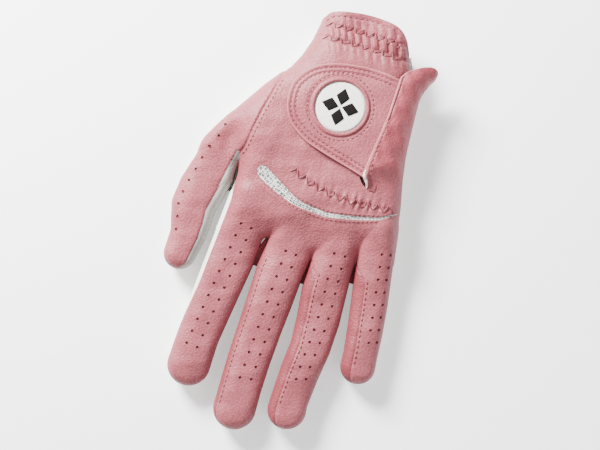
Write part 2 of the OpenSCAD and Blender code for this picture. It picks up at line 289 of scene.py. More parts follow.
def puckers(x, y):
    """Gathers of the elastic over the knuckles: short waves across the zigzag row."""
    near, _ = line_distance(x, y, knuckle_row)
    window = ramp(x, -16, -8) * (1 - ramp(x, 30, 35))
    wave = np.sin(2 * np.pi * x / 3.4 + 0.5 * np.sin(x / 3)) + 0.4 * np.sin(2 * np.pi * x / 2.1)
    strength = 0.18 + 0.34 * np.exp(-((x - 17) / 9) ** 2)
    return window * (strength * wave * np.exp(-(near / 2.8) ** 2) - 0.45 * np.exp(-(near / 0.8) ** 2))


def creases(x, y):
    """Soft unevenness of leather that has been worn: a few long low waves at different angles."""
    total = np.zeros(x.shape)
    rng = np.random.default_rng(7)
    for wavelength, height in ((31, 0.30), (23, 0.22), (15, 0.14), (10, 0.08), (7, 0.05), (5, 0.02)):
        for _ in range(2):
            angle, shift = rng.uniform(0, np.pi), rng.uniform(0, 6.28)
            down, across = x * np.cos(angle) + y * np.sin(angle), x * np.sin(angle) - y * np.cos(angle)
            bend = 1.3 * np.sin(across / (1.7 * wavelength) + shift)
            total += height * np.sin(2 * np.pi * down / wavelength + bend + shift)
    return total


# The maps: how near the outline each place is, and how far the back rises over it. The thumb's own
# rise takes over where its outline lies outside the hand's.
gx, gy = Map.GX, Map.GY
edge = hand_edge(gx, gy)
thumb_edge = along_line(gx, gy, fingers["thumb"]["line"])[0]
rise = FINGER_RISE + (HAND_RISE - FINGER_RISE) * ramp(gy, -46, -4) - CUFF_FALL * ramp(gy, 44, 70)
thumb_share = ramp(edge + 0.15 - thumb_edge, -0.25, 0.5)
rise = rise * (1 - thumb_share) + THUMB_RISE * thumb_share
for name in names:
    blend = 0.12 + 0.38 * ramp(gy, -12, 0) if name == "thumb" else 0.11
    edge = smooth_min(edge, along_line(gx, gy, fingers[name]["line"])[0], blend)
rise = soften(rise, 6)
seam_near, seam_side = line_distance(gx, gy, thumb_seam)
relief = ruffles(gx, gy) + puckers(gx, gy) + creases(gx, gy)
relief += 0.3 * ramp(seam_side, -0.2, 0.3) * np.exp(-(seam_near / 3) ** 2)
relief -= 0.45 * np.exp(-(seam_near / 0.55) ** 2)
relief -= 0.35 * np.exp(-((line_distance(gx, gy, hem_line)[0] - HEM_SEAM) / 0.5) ** 2)
strip = along_line(gx, gy, inset)[0]
relief += 0.22 * np.exp(-((strip - 1.8) / 0.5) ** 2) * (strip < 4)
rise_map = Map(rise + relief)
edge_map = Map(edge)


def top(x, y):
    """Height of the back of the glove."""
    return SIDE_Z + rise_map(x, y) * arch(edge_map(x, y))


def skin_value(p):
    """Below 0 inside the glove: the section's edge value and height, each raised to SECTION."""
    x, y, z = p.T
    e = np.maximum(edge_map(x, y), 0)
    h = np.where(z > SIDE_Z, rise_map(x, y), UNDER)
    return e ** SECTION + (np.abs(z - SIDE_Z) / h) ** SECTION - 1


def slope(p):
    """Gradient of skin_value by central differences."""
    reach = 0.15
    return np.stack([(skin_value(p + q) - skin_value(p - q)) / (2 * reach) for q in np.eye(3) * reach], 1)


def onto_skin(p, passes=4):
    """Moves points along the gradient until skin_value is 0."""
    for _ in range(passes):
        g = slope(p)
        f = skin_value(p)
        move = g * (f / np.maximum((g * g).sum(1), 1e-9))[:, None]
        far = np.maximum(np.linalg.norm(move, axis=1), 1e-9)
        p = p - move * np.minimum(1, 0.8 / far)[:, None]
    return p


def skin_mesh():
    """Surface net: one point in each grid cell that the skin crosses, at the mean of the crossings
    on the cell's edges, and one quad, as two triangles, around each crossed edge."""
    axes = [np.arange(-63, 47, STEP), np.arange(-122, 71.5, STEP), np.arange(-1.5, 25, STEP)]
    shape = [len(a) for a in axes]
    x, y = np.meshgrid(axes[0], axes[1], indexing="ij")
    e = np.maximum(edge_map(x, y), 0)[:, :, None] ** SECTION
    z = axes[2][None, None, :]
    h = np.where(z > SIDE_Z, rise_map(x, y)[:, :, None], UNDER)
    values = e + (np.abs(z - SIDE_Z) / h) ** SECTION - 1
    strides = np.array([shape[1] * shape[2], shape[2], 1])
    total = np.zeros((values.size, 3))
    count = np.zeros(values.size)
    quads = []
    for axis in range(3):
        low = np.take(values, range(shape[axis] - 1), axis)
        high = np.take(values, range(1, shape[axis]), axis)
        at = np.argwhere((low < 0) != (high < 0))
        a, b = low[tuple(at.T)], high[tuple(at.T)]
        place = at.astype(float)
        place[:, axis] += a / (a - b)
        u, v = [(1, 2), (2, 0), (0, 1)][axis]
        ring = []
        for du, dv in ((0, 0), (-1, 0), (-1, -1), (0, -1)):
            cell = at.copy()
            cell[:, u] += du
            cell[:, v] += dv
            flat = cell @ strides
            ring.append(flat)
            count += np.bincount(flat, minlength=values.size)
            for k in range(3):
                total[:, k] += np.bincount(flat, place[:, k], values.size)
        ring = np.array(ring).T
        quads.append(np.where((a < 0)[:, None], ring, ring[:, ::-1]))
    quads = np.concatenate(quads)
    used = np.flatnonzero(count)
    index = np.zeros(values.size, int)
    index[used] = np.arange(len(used))
    points = total[used] / count[used, None] * STEP + [a[0] for a in axes]
    return onto_skin(points), halves(index[quads])


skin_points, skin_faces = skin_mesh()
skin_normals = unit(slope(skin_points))
# For each point of the skin: the part it belongs to (0 is the hand), the finger it is nearest to,
# the angle around that finger and the distance past the finger's cut
x, y, z = skin_points.T
height = (z - SIDE_Z) / np.where(z > SIDE_Z, rise_map(x, y), UNDER)
fields = [along_line(x, y, fingers[name]["line"]) for name in names]
cuts = [along_line(np.array([f["line"][1][0]]), np.array([f["cut"]]), f["line"])[2][0]
        for f in fingers.values()]
owner = np.argmin([hand_edge(x, y)] + [f[0] for f in fields], 0)
nearest = np.argmin([f[0] for f in fields], 0)
turned = [(np.degrees(np.arctan2(height, f[1])) + 90) % 360 - 90 for f in fields]
around = np.choose(nearest, turned)
along = np.choose(nearest, [f[2] - c for f, c in zip(fields, cuts)])
hand = np.where(owner == 0, 1.0, -along)


def clip(mesh, keep):
    """The part of a triangle mesh where keep, a value at each point, is above 0. Triangles that the
    border crosses are cut along it. mesh is (points, faces, extra), extra one row per point."""
    points, faces, extra = mesh
    data = np.concatenate([points, extra, keep[:, None]], 1)
    inside = keep[faces] > 0
    count = inside.sum(1)
    made, rows, base = [faces[count == 3]], [data], len(points)
    for n_in in (1, 2):
        some, flags = faces[count == n_in], inside[count == n_in]
        lone = np.argmax(flags if n_in == 1 else ~flags, 1)
        row = np.arange(len(some))
        a, b, c = (some[row, (lone + k) % 3] for k in range(3))
        for other in (b, c):
            share = keep[a] / (keep[a] - keep[other])
            rows.append(data[a] + (data[other] - data[a]) * share[:, None])
        p = base + np.arange(len(a))
        q = p + len(a)
        base += 2 * len(a)
        made += [np.stack([a, p, q], 1)] if n_in == 1 else [np.stack([b, c, q], 1), np.stack([b, q, p], 1)]
    data, made = np.concatenate(rows), np.concatenate(made)
    # points that fell together are one point, and triangles left without area go
    key = np.round(data[:, :3] * 2e4).astype(np.int64)
    _, first, same = np.unique(key, axis=0, return_index=True, return_inverse=True)
    made = same.ravel()[made]
    made = made[(made[:, 0] != made[:, 1]) & (made[:, 1] != made[:, 2]) & (made[:, 0] != made[:, 2])]
    used, made = np.unique(made, return_inverse=True)
    data = data[first[used]]
    return data[:, :3], made.reshape(-1, 3), data[:, 3:-1]


def shell(points, faces, normals, thickness):
    """A wall of the given thickness: the outer skin, the inner skin, and a rim with its own points
    around every open border, so that the rim's edges stay crisp."""
    n = len(points)
    inner = points - normals * np.reshape(thickness, (-1, 1) if np.ndim(thickness) else 1)
    edges = np.concatenate([faces[:, [0, 1]], faces[:, [1, 2]], faces[:, [2, 0]]])
    code = np.sort(edges, 1) @ [n, 1]
    _, index, count = np.unique(code, return_index=True, return_counts=True)
    rim = edges[index[count == 1]]
    m = len(rim)
    rim_points = np.concatenate([points[rim[:, 0]], points[rim[:, 1]], inner[rim[:, 1]], inner[rim[:, 0]]])
    r = 2 * n + np.arange(m)
    rim_quads = np.stack([r + m, r, r + 3 * m, r + 2 * m], 1)
    return (np.concatenate([points, inner, rim_points]),
            [*faces.tolist(), *(faces[:, ::-1] + n).tolist(), *rim_quads.tolist()])


def patch(grid, thickness, backwards=False):
    """A wall made from a grid of points: triangles, normals from the grid's own slopes, and a shell."""
    n, m = grid.shape[:2]
    i, j = np.meshgrid(np.arange(n - 1), np.arange(m - 1), indexing="ij")
    a = (i * m + j).ravel()
    quads = np.stack([a, a + m, a + m + 1, a + 1], 1)
    faces = halves(quads[:, ::-1] if backwards else quads)
    normals = np.cross(np.gradient(grid, axis=0), np.gradient(grid, axis=1)).reshape(-1, 3)
    normals *= (-1 if backwards else 1) / np.maximum(np.linalg.norm(normals, axis=1), 1e-9)[:, None]
    return shell(grid.reshape(-1, 3), faces, normals, thickness)


def tube(path, radius, sides=8):
    """A round cord along a path of points: at each, a ring in the plane across the path, of the
    radius there; the two ends are closed."""
    path = np.asarray(path, float)
    ahead = unit(np.gradient(path, axis=0))
    side = unit(np.cross(ahead, (0, 0, 1.0)))
    up = np.cross(side, ahead)
    turn = np.arange(sides) / sides * 2 * np.pi
    ring = np.cos(turn)[None, :, None] * side[:, None] + np.sin(turn)[None, :, None] * up[:, None]
    points = (path[:, None] + ring * np.broadcast_to(radius, len(path))[:, None, None]).reshape(-1, 3)
    i, j = np.meshgrid(np.arange(len(path) - 1), np.arange(sides), indexing="ij")
    a, b = (i * sides + j).ravel(), (i * sides + (j + 1) % sides).ravel()
    faces = np.stack([a + sides, b + sides, b, a], 1).tolist()
    last = (len(path) - 1) * sides
    return points, [*faces, list(range(sides)), list(range(last + sides - 1, last - 1, -1))]


def joined(parts):
    """Several meshes as one."""
    start = np.cumsum([0] + [len(p) for p, _ in parts])
    return (np.concatenate([p for p, _ in parts]),
            [[k + s for k in face] for s, (_, f) in zip(start, parts) for face in f])


def make(name, points, faces, material, place=None):
    """A mesh object from points in millimetres. Its attribute "place" keeps where each point lies at
    rest, so that the grain stays put on leather that bends."""
    mesh = bpy.data.meshes.new(name)
    points = np.asarray(points, float)
    mesh.from_pydata((points * METRE).tolist(), [], [list(f) for f in faces])
    mesh.polygons.foreach_set("use_smooth", np.full(len(mesh.polygons), True))
    attribute = mesh.attributes.new("place", "FLOAT_VECTOR", "POINT")
    attribute.data.foreach_set("vector", (points if place is None else place).astype(np.float32).ravel())
    mesh.materials.append(material)
    piece = bpy.data.objects.new(name, mesh)
    bpy.context.scene.collection.objects.link(piece)
    return piece


class Wire:
    """A shader socket. Arithmetic on it adds Math nodes, and node() adds any other node."""

    def __init__(self, tree, socket):
        self.tree, self.socket = tree, socket

    def node(self, kind, settings=None, out=0, **values):
        """Adds a node: its settings first, then the value or link of each named input."""
        made = self.tree.nodes.new("ShaderNode" + kind)
        for key, value in (settings or {}).items():
            setattr(made, key, value)
        for key, value in values.items():
            numbered = key[0] == "i" and key[1:].isdigit()
            socket = made.inputs[int(key[1:]) if numbered else key.replace("_", " ")]
            if isinstance(value, Wire):
                self.tree.links.new(value.socket, socket)
            else:
                socket.default_value = value
        return Wire(self.tree, made.outputs[out])

    def math(self, operation, *values):
        numbered = {f"i{k}": value for k, value in enumerate((self, *values))}
        return self.node("Math", {"operation": operation}, **numbered)

    def __add__(self, other):
        return self.math("ADD", other)

    def __mul__(self, other):
        return self.math("MULTIPLY", other)

    def __rsub__(self, other):
        return (self * -1) + other

    def between(self, low, high):
        """0 below low, 1 above high."""
        return self.node("MapRange", {"interpolation_type": "SMOOTHSTEP"}, Value=self, i1=low, i2=high)

    def into(self, name):
        """Feeds an input of the material's Principled node."""
        self.tree.links.new(self.socket, self.tree.nodes["Principled BSDF"].inputs[name])


def finish_of(name, roughness, **constants):
    """A material with its constant inputs set, and a wire of the rest place in millimetres."""
    material = bpy.data.materials.new(name)
    material.use_nodes = True
    tree = material.node_tree
    shader = tree.nodes["Principled BSDF"]
    shader.inputs["Roughness"].default_value = roughness
    for key, value in constants.items():
        shader.inputs[key.replace("_", " ")].default_value = value
    return material, Wire(tree, None).node("Attribute", {"attribute_name": "place"}, out=1)


def mixed(a, b, factor):
    """Colour a where factor is 0 and b where it is 1."""
    return factor.node("Mix", {"data_type": "RGBA"}, out=2, i0=factor, i6=a, i7=b)


def leather(name, pale, deep, grain=0.9, bump=0.42, roughness=0.52, near_slit=None, near_palm=None):
    """Soft sheep leather: a pebbled grain of small cells with finer pores between them, slightly
    darker in the grain's valleys, and slow patches where the dye took more or less. near_slit is a
    second pair of colours, which it turns to below the end of the slit, and near_palm is the same for
    its lowest part, next to the palm."""
    material, place = finish_of(name, roughness, Specular_IOR_Level=0.32)
    warp = place.node("TexNoise", {}, out=1, Vector=place, Scale=0.9, Detail=2.0)
    bent = place.node("VectorMath", {"operation": "MULTIPLY_ADD"}, i0=warp, i1=(0.7, 0.7, 0.7), i2=place)
    cells = place.node("TexVoronoi", {"feature": "SMOOTH_F1"}, Vector=bent, Scale=1 / grain,
                       Smoothness=0.6)
    pores = place.node("TexNoise", {}, Vector=place, Scale=2.6, Detail=3.0)
    patches = place.node("TexNoise", {}, Vector=place, Scale=0.06, Detail=4.0, Roughness=0.6)
    height = 1 - cells.between(0.05, 0.75) + pores * 0.3
    shade = patches.between(0.3, 0.7) * 0.3 + cells.between(0.2, 0.75) * 0.4
    shade = shade + pores.between(0.35, 0.75) * 0.3
    colour = mixed(pale, deep, shade)
    if near_slit:
        rise = place.node("SeparateXYZ", {}, out=1, Vector=place) + patches * 8
        colour = mixed(mixed(*near_slit, shade), colour, rise.between(-2, 18))
    if near_palm:
        rise = place.node("SeparateXYZ", {}, out=2, Vector=place) + patches * 2
        colour = mixed(mixed(*near_palm, shade), colour, rise.between(2.5, 7))
    colour.into("Base Color")
    (pores.between(0.3, 0.7) * 0.14 + (roughness - 0.06)).into("Roughness")
    place.node("Bump", {}, Strength=bump, Distance=0.00028, Height=height).into("Normal")
    return material


BACK_PINK = (0.290, 0.074, 0.087, 1), (0.185, 0.036, 0.046, 1)
back_leather = leather("back leather", *BACK_PINK)
# the fourchettes, webs and saddles get a darker pink than the back: painted shade for the sides between the
# fingers that face away from the light
shaded_side_leather = leather("side leather in painted shade", (0.21, 0.038, 0.047, 1), (0.15, 0.022, 0.03, 1))
PALM_WHITE = (0.80, 0.78, 0.74, 1), (0.68, 0.65, 0.61, 1)
palm_leather = leather("palm leather", *PALM_WHITE, grain=0.6, bump=0.3)
# the thumb's inner side and the crotch: the white palm leather painted grey as shade, turning to the palm's
# own white at its lowest part
shade_grey_gusset_leather = leather("gusset leather in painted shade", (0.30, 0.29, 0.27, 1), (0.235, 0.227, 0.21, 1), grain=0.6,
                         bump=0.3, near_palm=PALM_WHITE)
WALL = 0.8                   # thickness of the leather
SEAM_ROLL = 0.6              # how far from a seam the leather begins to roll into it


def cut_panel(name, keep, seam, material, thickness=WALL, dip=0.3, sink=0.0):
    """A leather panel: the part of the skin where keep is above 0, as a wall of the given thickness,
    which lies deeper than the skin by sink. Where seam, a distance in millimetres, is near 0 the
    leather rolls down into its seam by dip."""
    extra = np.column_stack([skin_normals, seam, seam * 0 + sink])
    points, faces, extra = clip((skin_points, skin_faces, extra), keep)
    normals = unit(extra[:, :3])
    down = extra[:, 4] + dip * np.exp(-(extra[:, 3] / SEAM_ROLL) ** 2)
    return make(name, *shell(points - normals * down[:, None], faces, normals, thickness), material)


# ---------------------------------------------------------------------------------------------
# Threads. Every seam is sewn with a thick polyester thread; a stitch is a short rod that rises from
# one hole and goes down into the next.
def thread_finish(name, colour):
    """Twisted polyester: an even colour with a fine slanted twist."""
    material, place = finish_of(name, 0.5)
    twist = place.node("TexWave", {}, Vector=place, Scale=1.1, Distortion=0.4)
    dark = tuple(c * 0.72 for c in colour[:3]) + (1,)
    mixed(colour, dark, twist).into("Base Color")
    return material


pink_thread = thread_finish("pink thread", (0.20, 0.036, 0.045, 1))
white_thread = thread_finish("white thread", (0.8, 0.78, 0.74, 1))


SEAM_POINTS = 400            # points by which a seam's smooth line is followed


def down_line(line, distances):
    """The places on a line of points at some distances down it."""
    length = walked(line)
    return np.stack([np.interp(distances, length, column) for column in line.T], 1)


def leftward(ahead):
    """Plan directions turned a quarter turn to the left."""
    return np.stack([-ahead[:, 1], ahead[:, 0]], 1)


def running(points, pitch, share=0.7):
    """Start and end of each stitch of a running seam along a smooth line through the points. A
    stitch shows over its share of the pitch, and the rest of the thread is under the leather."""
    line = curve(points, SEAM_POINTS)
    length = walked(line)[-1]
    n = max(int(length / pitch), 1)
    at = (np.arange(n) + 0.5) * length / n
    half = 0.5 * share * length / n
    return down_line(line, at - half), down_line(line, at + half)


def zigzag(points, pitch, height, lean=0.0):
    """The legs of a zigzag seam: turning points by turns half its height to either side of a line."""
    line = curve(points, SEAM_POINTS)
    length = walked(line)[-1]
    n = int(length / pitch)
    p = down_line(line, np.linspace(0, length, n + 1))
    ahead = unit(np.gradient(p, axis=0))
    flip = np.where(np.arange(n + 1) % 2, 0.5, -0.5)[:, None]
    p = p + flip * height * (leftward(ahead) + lean * ahead)
    return p[:-1], p[1:]


def sew(name, seams, surface, material, radius=0.27, lift=0.06, facing=1):
    """One mesh of all stitches of some seams, lying on a surface given as a height at x, y: each
    stitch is a six-sided rod with rounded ends that sink into the leather. facing is -1 below."""
    a, b = (np.concatenate([seam[end] for seam in seams]) for end in (0, 1))
    mid = (a + b) / 2
    x, y = mid.T
    eps = 0.4
    slope_x = (surface(x + eps, y) - surface(x - eps, y)) / (2 * eps)
    slope_y = (surface(x, y + eps) - surface(x, y - eps)) / (2 * eps)
    up = unit(np.stack([-slope_x, -slope_y, np.ones(len(mid))], 1)) * facing
    span = np.column_stack([b - a, surface(*b.T) - surface(*a.T)])
    level = np.maximum(facing * surface(x, y), facing * (surface(*a.T) + surface(*b.T)) / 2)
    centre = np.column_stack([mid, facing * level]) + up * lift
    side = unit(np.cross(up, span))
    # six rings of six points: how far down the rod each lies, how wide it is and how deep it sinks
    t = np.array([-0.5, -0.42, -0.2, 0.2, 0.42, 0.5])
    fat = np.array([0.25, 0.8, 1, 1, 0.8, 0.25]) * radius
    sag = np.array([-0.34, -0.16, 0, 0, -0.16, -0.34])
    turn = np.arange(6) * np.pi / 3
    rod = (centre[:, None, None] + span[:, None, None] * t[:, None, None]
           + up[:, None, None] * (sag[:, None] + fat[:, None] * np.sin(turn))[..., None]
           + side[:, None, None] * (fat[:, None] * np.cos(turn))[..., None])
    ring = np.arange(6)
    after = (ring + 1) % 6
    quads = [np.array([k + ring, k + after, k + 6 + after, k + 6 + ring]).T for k in range(0, 30, 6)]
    quads = np.concatenate(quads)[:, ::-1]
    caps = np.array([ring, 35 - ring])
    base = np.arange(len(mid))[:, None, None] * 36
    faces = [*(base + quads).reshape(-1, 4).tolist(), *(base + caps).reshape(-1, 6).tolist()]
    return make(name, rod.reshape(-1, 3), faces, material)


# ---------------------------------------------------------------------------------------------
# Fingers and thumb. Each has a back, which is one leather with the back of the hand, a palm side,
# and side strips called fourchettes; the backs are punched with small holes for air.
HOLE = 0.66                  # radius of a hole
CLEAR = 9.0                  # stands for any distance too great to matter
# first and last hole of each row, and how many it has
vents = {
    "index": [((-28.1, -32.0), (-36.5, -87.4), 11), ((-23.3, -32.8), (-31.6, -88.0), 11)],
    "middle": [((-6.6, -38.1), (-10.5, -95.4), 11), ((-1.9, -38.5), (-5.6, -94.9), 11)],
    "ring": [((13.6, -33.4), (12.8, -89.5), 11), ((18.4, -33.4), (16.9, -88.4), 11)],
    "little": [((33.2, -28.2), (38.4, -66.1), 8), ((36.9, -27.5), (41.8, -65.0), 8)],
}
vent_rows = {name: [] for name in names}
for name, lines in vents.items():
    for first, last, count in lines:
        t = np.linspace(0, 1, count)[:, None]
        row = np.array(first) * (1 - t) + np.array(last) * t
        if name == "ring":
            row[:, 0] += 1.4 * np.sin(np.pi * t[:, 0]) ** 2
        vent_rows[name].append(row)
thumb_line = np.array(fingers["thumb"]["line"])
t = np.linspace(6.8, -42, 10)
centre = np.interp(-t, -thumb_line[:, 1], thumb_line[:, 0])
half = np.interp(-t, -thumb_line[:, 1], thumb_line[:, 2])
vent_rows["thumb"] = [np.column_stack([centre - 0.64 * half - 1.6 * ramp(t, -2, 8), t])]
holes = np.concatenate([row for name in names for row in vent_rows[name]])


def hole_distance(x, y, z):
    """Distance from the nearest hole's edge in plan, on the back of the glove only."""
    near = np.full(x.shape, CLEAR)
    for hx, hy in holes:
        near = np.minimum(near, np.hypot(x - hx, y - hy))
    return np.where(z > SIDE_Z, near - HOLE, CLEAR)


unpunched = hole_distance(x, y, z)


def over_joint(piece):
    """Bakes the piece's placement into its mesh."""
    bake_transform(piece)


def seam_angles(finger, along):
    """Degrees around a finger of its four seams: the right and left edge of its back, then the right
    and left edge of its palm side. 0 is +X, 90 the back, 180 -X, 270 or -90 the palm."""
    if finger == "index":
        left = 143 + 34 * ramp(along, 18, 50)
        return 14 - 8 * ramp(-along, -4, 6), left, -32, left
    if finger == "thumb":
        right = 53 * ramp(along, 1, 12)
        return right, 200, right, 200
    if finger == "little":
        return -6, 174 - 62 * ramp(along, -9, 4), -6, 212
    left = {"middle": 143, "ring": 122}[finger]
    return 14 - 8 * ramp(-along, -4, 6), 176 - (176 - left) * ramp(along, -7, 4), -32, 212


# the white leather of the palm comes up between the thumb and the index finger
crotch = np.minimum.reduce([
    x - np.interp(y, [-20, -11, -3, -1], [-42, -40.2, -38.2, -37.4]),
    np.interp(y, [-20, -12, -3], [-36.2, -36.2, -37.0]) - x, -2.5 - y, y + 19, z - 4])
PER_DEGREE = 0.15             # millimetres of leather to a degree around a finger
panels = {}
for number, name in enumerate(names):
    right, left, under_right, under_left = seam_angles(name, along)
    back = np.minimum(around - right, left - around) * PER_DEGREE
    palm = np.maximum(under_right - around, around - under_left) * PER_DEGREE
    if name == "thumb":
        back, palm = np.minimum(back, -crotch), np.maximum(palm, crotch)
    panels[name] = (back, palm, -np.maximum(back, palm))
    mine = np.where(owner == number + 1, along, -1.0)
    back_keep = np.minimum.reduce([mine, back, unpunched])
    piece = cut_panel(name + "_back_leather", back_keep, back, back_leather)
    over_joint(piece)
    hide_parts(name + "_back")
    piece = cut_panel(name + "_palm_leather", np.minimum(mine, palm), palm,
                      shade_grey_gusset_leather if name == "thumb" else palm_leather)
    over_joint(piece)
    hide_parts(name + "_palm")
    if name != "thumb":
        sides = panels[name][2]
        piece = cut_panel(name + "_fourchette_leather", np.minimum(mine, sides), sides, shaded_side_leather)
        over_joint(piece)
        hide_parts(name + ("_fourchettes" if name in ("middle", "ring") else "_fourchette"))

# dark rose discs that show in the holes, painted shade for the dim inside of the glove: an eight-sided disc
# behind each
hole_shade_finish, place = finish_of("vent shade discs", 0.9)
weave = place.node("TexNoise", {}, Vector=place, Scale=2.0)
mixed((0.16, 0.03, 0.038, 1), (0.08, 0.012, 0.016, 1), weave).into("Base Color")
LINER_R, LINER_DEPTH, LINER_WALL = HOLE + 0.1, 0.5, 0.15
k = np.arange(8)
turn = k * np.pi / 4
for name in names:
    at = np.concatenate(vent_rows[name])
    px = at[:, 0, None] + LINER_R * np.cos(turn)
    py = at[:, 1, None] + LINER_R * np.sin(turn)
    upper = np.stack([px, py, top(px, py) - LINER_DEPTH], -1)
    p = np.concatenate([upper, upper - (0, 0, LINER_WALL)], 1).reshape(-1, 3)
    sides = np.stack([k + 8, (k + 1) % 8 + 8, (k + 1) % 8, k], 1)
    base = np.arange(len(at))[:, None, None] * 16
    lids = np.array([k, k[::-1] + 8])
    f = [*(base + sides).reshape(-1, 4).tolist(), *(base + lids).reshape(-1, 8).tolist()]
    piece = make(name + "_vent_lining", p, f, hole_shade_finish)
    over_joint(piece)


def finger_line(finger, share, first, last, count=12):
    """Points down a finger between two distances past its cut, at a share of its half width."""
    line = np.array(fingers[finger]["line"])
    at = np.linspace(first, last, count) + cuts[names.index(finger)]
    px, py, half = (np.interp(at, walked(line[:, :2]), column) for column in line.T)
    middle = np.column_stack([px, py])
    return middle + leftward(unit(np.gradient(middle, axis=0))) * (half * share)[:, None]


for name, share, last in (("middle", -0.74, 66), ("ring", -0.46, 60), ("little", -0.30, 38)):
    seam = running(finger_line(name, share, 1, last), 2.2)
    piece = sew(name + "_stitches", [seam], top, pink_thread, radius=0.28, lift=0.18)
    over_joint(piece)

# ---------------------------------------------------------------------------------------------
# Hand: one leather over the back, a second over the thumb's root, and the white palm, which wraps
# round under the index finger. Short fourchettes close the forks between the fingers.
seam_z = SIDE_Z - 2.5 * (1 - ramp(x, -50, -44)) * ramp(y, -12, -4) * (1 - ramp(y, 8, 26))
thumb_side = line_distance(x, y, thumb_seam)[1]
hem_side = line_distance(x, y, hem_line)[1]
strip_edge = (along_line(x, y, inset)[0] - 1) * 1.3
slit_edge = np.interp(y, [-3.2, -1.8, 0, 2, 5, 10, 46, 57, 60],
                      [19.2, 16.6, 15.0, 15.0, 17.5, 19.8, 22.2, 23.4, 40])
slit = np.maximum(-3.2 - y, slit_edge - x)
below_hem = np.where(y > 40, -hem_side, CLEAR)
web_all = np.full(len(x), -CLEAR)
for one, other in (("index", "middle"), ("middle", "ring"), ("ring", "little")):
    fork = one + "_" + other
    a = np.where((nearest == names.index(one)) & (around < 90), panels[one][2], -CLEAR)
    b = np.where((nearest == names.index(other)) & (around > 90), panels[other][2], -CLEAR)
    web = np.minimum(np.maximum(a, b), along + 7.5)
    web_all = np.maximum(web_all, web)
    piece = cut_panel(fork + "_web_leather", np.minimum(hand, web), web, shaded_side_leather)
    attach(piece, "hand")
    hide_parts(fork + "_fourchette")

# how far above the side seam each point lies; beside the index finger the seam follows an angle
beside = (nearest == 0) & (around > 90) & (y < -4)
over = np.where(beside, (143 + 37 * ramp(y, -24, -8) - around) * PER_DEGREE, z - seam_z)
back_seam = np.minimum.reduce([over, -thumb_side, -web_all, -crotch])
back_keep = np.minimum.reduce([hand, back_seam, strip_edge, slit, below_hem, unpunched])
piece = cut_panel("hand_back_leather", back_keep, back_seam, back_leather)
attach(piece, "hand")
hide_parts("back_panel", "knuckle_sleeves_back", "tab_root")

base_seam = np.minimum.reduce([over, thumb_side, -crotch])
base_keep = np.minimum.reduce([hand, base_seam, unpunched, y + 14])
piece = cut_panel("thumb_base_leather", base_keep, base_seam, back_leather)
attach(piece, "hand")
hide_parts("thumb_base")

# the palm lies deeper under its second layer
PALM_HALF, PALM_Y, PALM_CORNER = np.array([23.0, 28.0]), 10.0, 12.0
px, py = np.abs(x), np.abs(y - PALM_Y)
beyond_x, beyond_y = px - (PALM_HALF[0] - PALM_CORNER), py - (PALM_HALF[1] - PALM_CORNER)
inside = PALM_CORNER - np.hypot(np.maximum(beyond_x, 0), np.maximum(beyond_y, 0))
palm_seam = np.minimum.reduce([-over, -crotch, -web_all])
palm_keep = np.minimum.reduce([hand, palm_seam, 59.5 - 0.06 * (x - 2) ** 2 / 10 - y])
piece = cut_panel("hand_palm_leather", palm_keep, palm_seam, palm_leather,
                  sink=0.78 * ramp(inside, -0.3, 0.5) * (z < 3))
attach(piece, "hand")
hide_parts("palm_panel", "knuckle_sleeves_palm")

piece = cut_panel("thumb_gusset_leather", np.minimum(hand, crotch), crotch, shade_grey_gusset_leather)
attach(piece, "hand")

seam = running([(px + 1.3, py) for px, py in thumb_seam[1:-1]], 2.0)
piece = sew("thumb_seam_stitches", [seam], top, pink_thread, radius=0.26, lift=0.12)
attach(piece, "hand")

# ---------------------------------------------------------------------------------------------
# Knitted inset over the knuckles: a silver-white stretch mesh let into a curved cut in the back,
# wide beside the index finger and running out to nothing, with a row of stitches on either side.
knit, place = finish_of("knitted mesh", 0.55)
flecks = place.node("TexNoise", {}, Vector=place, Scale=0.5, Detail=3.0, Roughness=0.7)
eyes = place.node("TexVoronoi", {}, Vector=place, Scale=0.66, Randomness=0.4)
yarn = place.node("TexNoise", {}, Vector=place, Scale=2.4, Detail=2.0)
dark = (1 - eyes.between(0.3, 0.55)) * flecks.between(0.2, 0.42)
grey = mixed((0.16, 0.155, 0.145, 1), (0.035, 0.032, 0.03, 1), flecks.between(0.4, 0.65))
pale = mixed((0.74, 0.72, 0.68, 1), (0.30, 0.288, 0.268, 1), yarn.between(0.4, 0.6))
mixed(pale, grey, dark).into("Base Color")
(dark * 0.3 + 0.45).into("Roughness")
path = curve([(-29.2, -6.2, 2.4), *inset], 440)
side = leftward(unit(np.gradient(path[:, :2], axis=0)))
out = np.linspace(-1, 1, 27)[:, None] * (path[:, 2] + 0.5)
px, py = path[:, 0] + side[:, 0] * out, path[:, 1] + side[:, 1] * out
# rows of loops: each is a short slanted bump that leans to one side and then to the other
ROW_PITCH, LOOP_PITCH = 0.95, 0.8
lean = 0.45 * np.abs((out / ROW_PITCH) % 2 - 1)
loops = np.abs(np.sin(np.pi * (walked(path[:, :2])[None] + lean) / LOOP_PITCH)) * 0.26
loops = loops + 0.14 * np.abs(np.sin(np.pi * out / ROW_PITCH))
loops = loops * np.minimum(path[:, 2] / 1.2, 1)
pz = top(px, py) - 0.42 + loops
p, f = patch(np.stack([px, py, pz], -1), 0.5, backwards=True)
# the yarn's pattern follows the strip: its first two coordinates run along and across it
_, across, far = along_line(*p[:, :2].T, inset)
piece = make("knuckle_mesh_knit", p, f, knit, np.column_stack([far, 2.5 * across, far * 0]))
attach(piece, "hand")
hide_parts("knuckle_mesh")
edges = [[(px, py + side * (half + 0.75)) for px, py, half in inset[:-1]] for side in (1, -1)]
piece = sew("knuckle_mesh_stitches", [running(e, 1.9) for e in edges], top, pink_thread, radius=0.2)
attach(piece, "hand")

